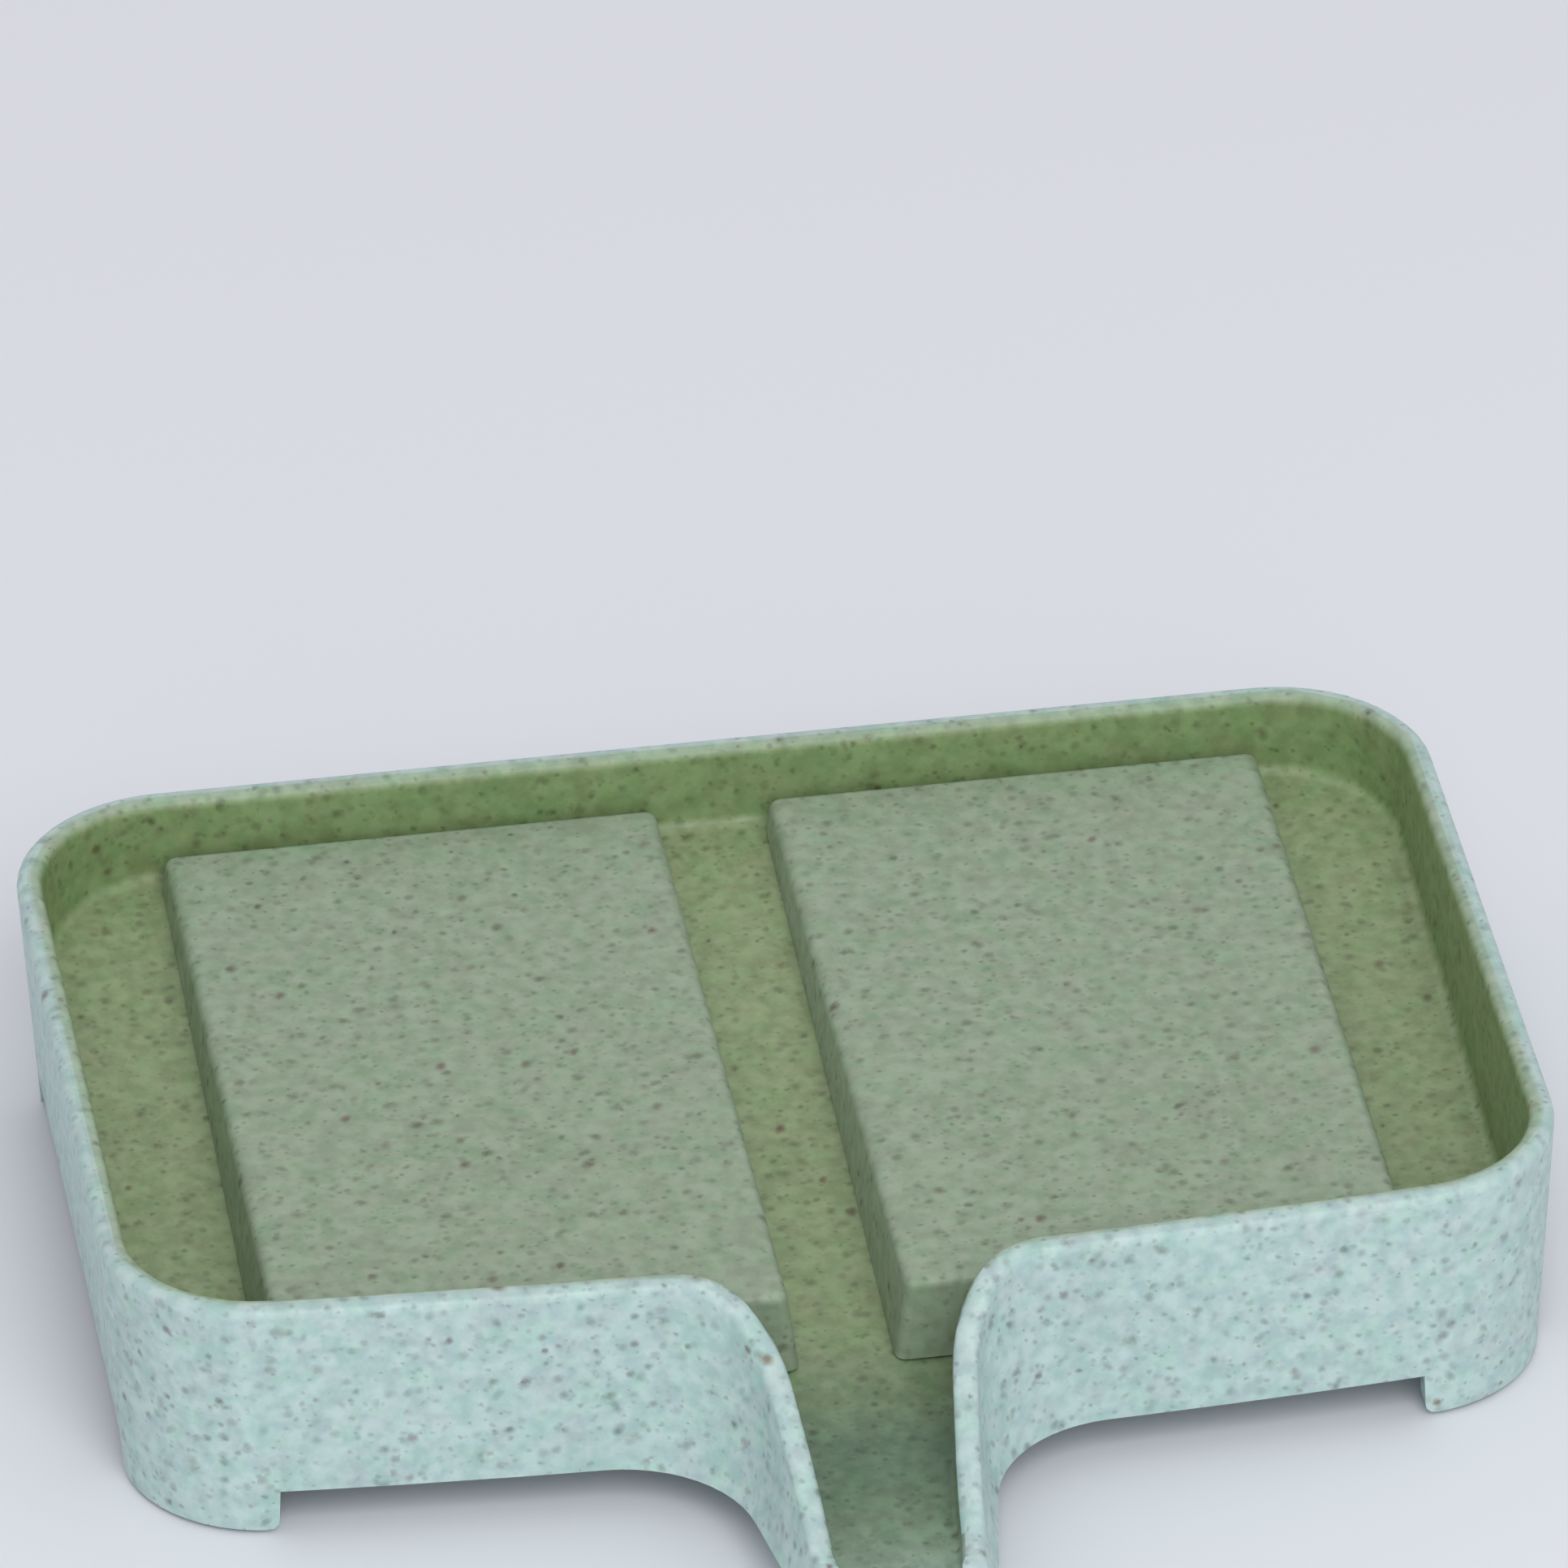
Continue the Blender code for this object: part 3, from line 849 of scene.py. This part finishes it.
print("Platform tops in mm: front", round(1000 * platform_top(PLATFORM_FRONT_Y), 2),
      "rear", round(1000 * platform_top(PLATFORM_REAR_Y), 2))

# %% [markdown]
# The block's upper edges are rounded with a bevel, so that they catch the light as moulded edges
# do. The real piece is a thin shell, so a second, smaller block, let down through the underside, is
# taken out of it with a boolean. What is left has the same wall all round.

# %% Rounded and hollow platforms
PLATFORM_SHELL = 0.0018
PLATFORM_EDGE = 0.0010
HOLLOW_DROP = 0.003


def round_upper_edges(block):
    take(block)
    bpy.ops.object.mode_set(mode="EDIT")
    bpy.ops.mesh.select_all(action="DESELECT")
    bpy.ops.mesh.select_mode(type="EDGE")
    bpy.ops.object.mode_set(mode="OBJECT")
    for edge in block.data.edges:
        ends = [block.data.vertices[index].co for index in edge.vertices]
        edge.select = any(end.z > platform_top(end.y) - PLATFORM_EDGE for end in ends)
    bpy.ops.object.mode_set(mode="EDIT")
    bpy.ops.mesh.bevel(offset=PLATFORM_EDGE, segments=4, profile=0.5)
    bpy.ops.object.mode_set(mode="OBJECT")


def take_out(block, hollow):
    cut = block.modifiers.new("hollow", "BOOLEAN")
    cut.operation = "DIFFERENCE"
    cut.solver = "EXACT"
    cut.object = hollow
    take(block)
    bpy.ops.object.modifier_apply(modifier="hollow")
    bpy.data.objects.remove(hollow, do_unlink=True)


for side, label in ((-1, "left"), (1, "right")):
    platform = sawn_block(label + "_platform_block", side, 0, 0)
    round_upper_edges(platform)
    take_out(platform, sawn_block(platform.name + "_hollow", side, PLATFORM_SHELL, HOLLOW_DROP))
    node = label + "_platform"
    finish_piece(platform, platform_plastic, node + "_body", node)
    low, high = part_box(node)
    print(platform.name, "mm:", [round(1000 * length, 2) for length in platform.dimensions],
          "CAD:", [round(1000 * length, 2) for length in high - low])

# %% [markdown]
# ## The grip pads
# Four rubber discs sit in recesses under the corner posts. The rubber is dark and matt, and dust
# makes it a little cloudy, so one soft noise mixes two greys and also gives the fine relief.

# %% Rubber
CLEAN_RUBBER = paint(58, 64, 62)
DUSTY_RUBBER = paint(86, 93, 89)
DUST_PER_METRE = 900.0
RUBBER_ROUGHNESS = 0.72
RUBBER_STRENGTH = 0.4
RUBBER_DEPTH = 0.00005

rubber = bpy.data.materials.new("grip_rubber")
rubber.use_nodes = True
rubber_nodes, rubber_links = rubber.node_tree.nodes, rubber.node_tree.links
rubber_shader = rubber_nodes["Principled BSDF"]
rubber_place = rubber_nodes.new("ShaderNodeTexCoord").outputs["Object"]
dust = noise(rubber_nodes, rubber_links, rubber_place, DUST_PER_METRE, 4.0)["Fac"]
rubber_colour = mixed(rubber_nodes, rubber_links, dust, CLEAN_RUBBER, DUSTY_RUBBER)
rubber_links.new(rubber_colour, rubber_shader.inputs["Base Color"])
rubber_shader.inputs["Roughness"].default_value = RUBBER_ROUGHNESS
bumped(rubber_nodes, rubber_links, rubber_shader, dust, RUBBER_STRENGTH, RUBBER_DEPTH)
print("Rubber has", len(rubber_nodes), "nodes")

# %% [markdown]
# A plain disc would slip, so the pads have a soft edge and a ringed face. One pad is made with
# inset faces that are pushed in and out, which leaves a ring groove and a raised button.

# %% One pad
PAD_SIDES = 64
PAD_OUTER_BAND = 0.0009
PAD_GROOVE_BAND = 0.0008
PAD_SLOPE = 0.0003
PAD_GROOVE_DEPTH = 0.0003
PAD_ROUND = 0.00018


def select_underside(piece):
    """Only the lowest face, which points down."""
    bpy.ops.mesh.select_mode(type="FACE")
    bpy.ops.mesh.select_all(action="DESELECT")
    bpy.ops.object.mode_set(mode="OBJECT")
    lowest = min(piece.data.polygons, key=lambda face: (round(face.normal.z, 3), -face.area))
    for face in piece.data.polygons:
        face.select = face.index == lowest.index
    bpy.ops.object.mode_set(mode="EDIT")


def ringed_pad(name, low, high):
    """A disc with a soft edge, a ring groove and a raised button in its face."""
    start_clean()
    bpy.ops.mesh.primitive_cylinder_add(
        vertices=PAD_SIDES,
        radius=(high.x - low.x) / 2,
        depth=high.z - low.z,
        location=(low + high) / 2,
    )
    pad = bpy.context.object
    pad.name = name
    settle(pad)
    bpy.ops.object.mode_set(mode="EDIT")
    select_underside(pad)
    for band, push in ((PAD_OUTER_BAND, PAD_GROOVE_DEPTH), (PAD_GROOVE_BAND, -PAD_GROOVE_DEPTH)):
        bpy.ops.mesh.inset(thickness=band)
        bpy.ops.mesh.inset(thickness=PAD_SLOPE)
        bpy.ops.transform.translate(value=(0, 0, push))
    bpy.ops.object.mode_set(mode="OBJECT")
    bevel = pad.modifiers.new("soft_edges", "BEVEL")
    bevel.width = PAD_ROUND
    bevel.segments = 2
    bevel.limit_method = "ANGLE"
    take(pad)
    bpy.ops.object.modifier_apply(modifier="soft_edges")
    return pad


first_low, first_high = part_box("grip_pad_front_left")
pads = {"front_left": ringed_pad("ringed_pad_front_left", first_low, first_high)}
print("First pad:", len(pads["front_left"].data.polygons), "faces")

# %% [markdown]
# The other three pads are copies of the first, each with its own mesh. Each is moved by as much as
# its CAD node lies away from the first one, and the move then goes into the mesh.

# %% Four pads
for corner in ("front_right", "back_left", "back_right"):
    pad = bpy.data.objects.new("ringed_pad_" + corner, pads["front_left"].data.copy())
    bpy.context.scene.collection.objects.link(pad)
    pad.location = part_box("grip_pad_" + corner)[0] - first_low
    settle(pad)
    pads[corner] = pad

for corner, pad in pads.items():
    finish_piece(pad, rubber, "tray_body", "grip_pad_" + corner)
    print(pad.name, "mm:", [round(1000 * side, 2) for side in pad.dimensions])

# %% [markdown]
# ## The end
# The dressed model must fill the same box as the CAD model. Last, the selection is cleared.

# %% Finish
start_clean()
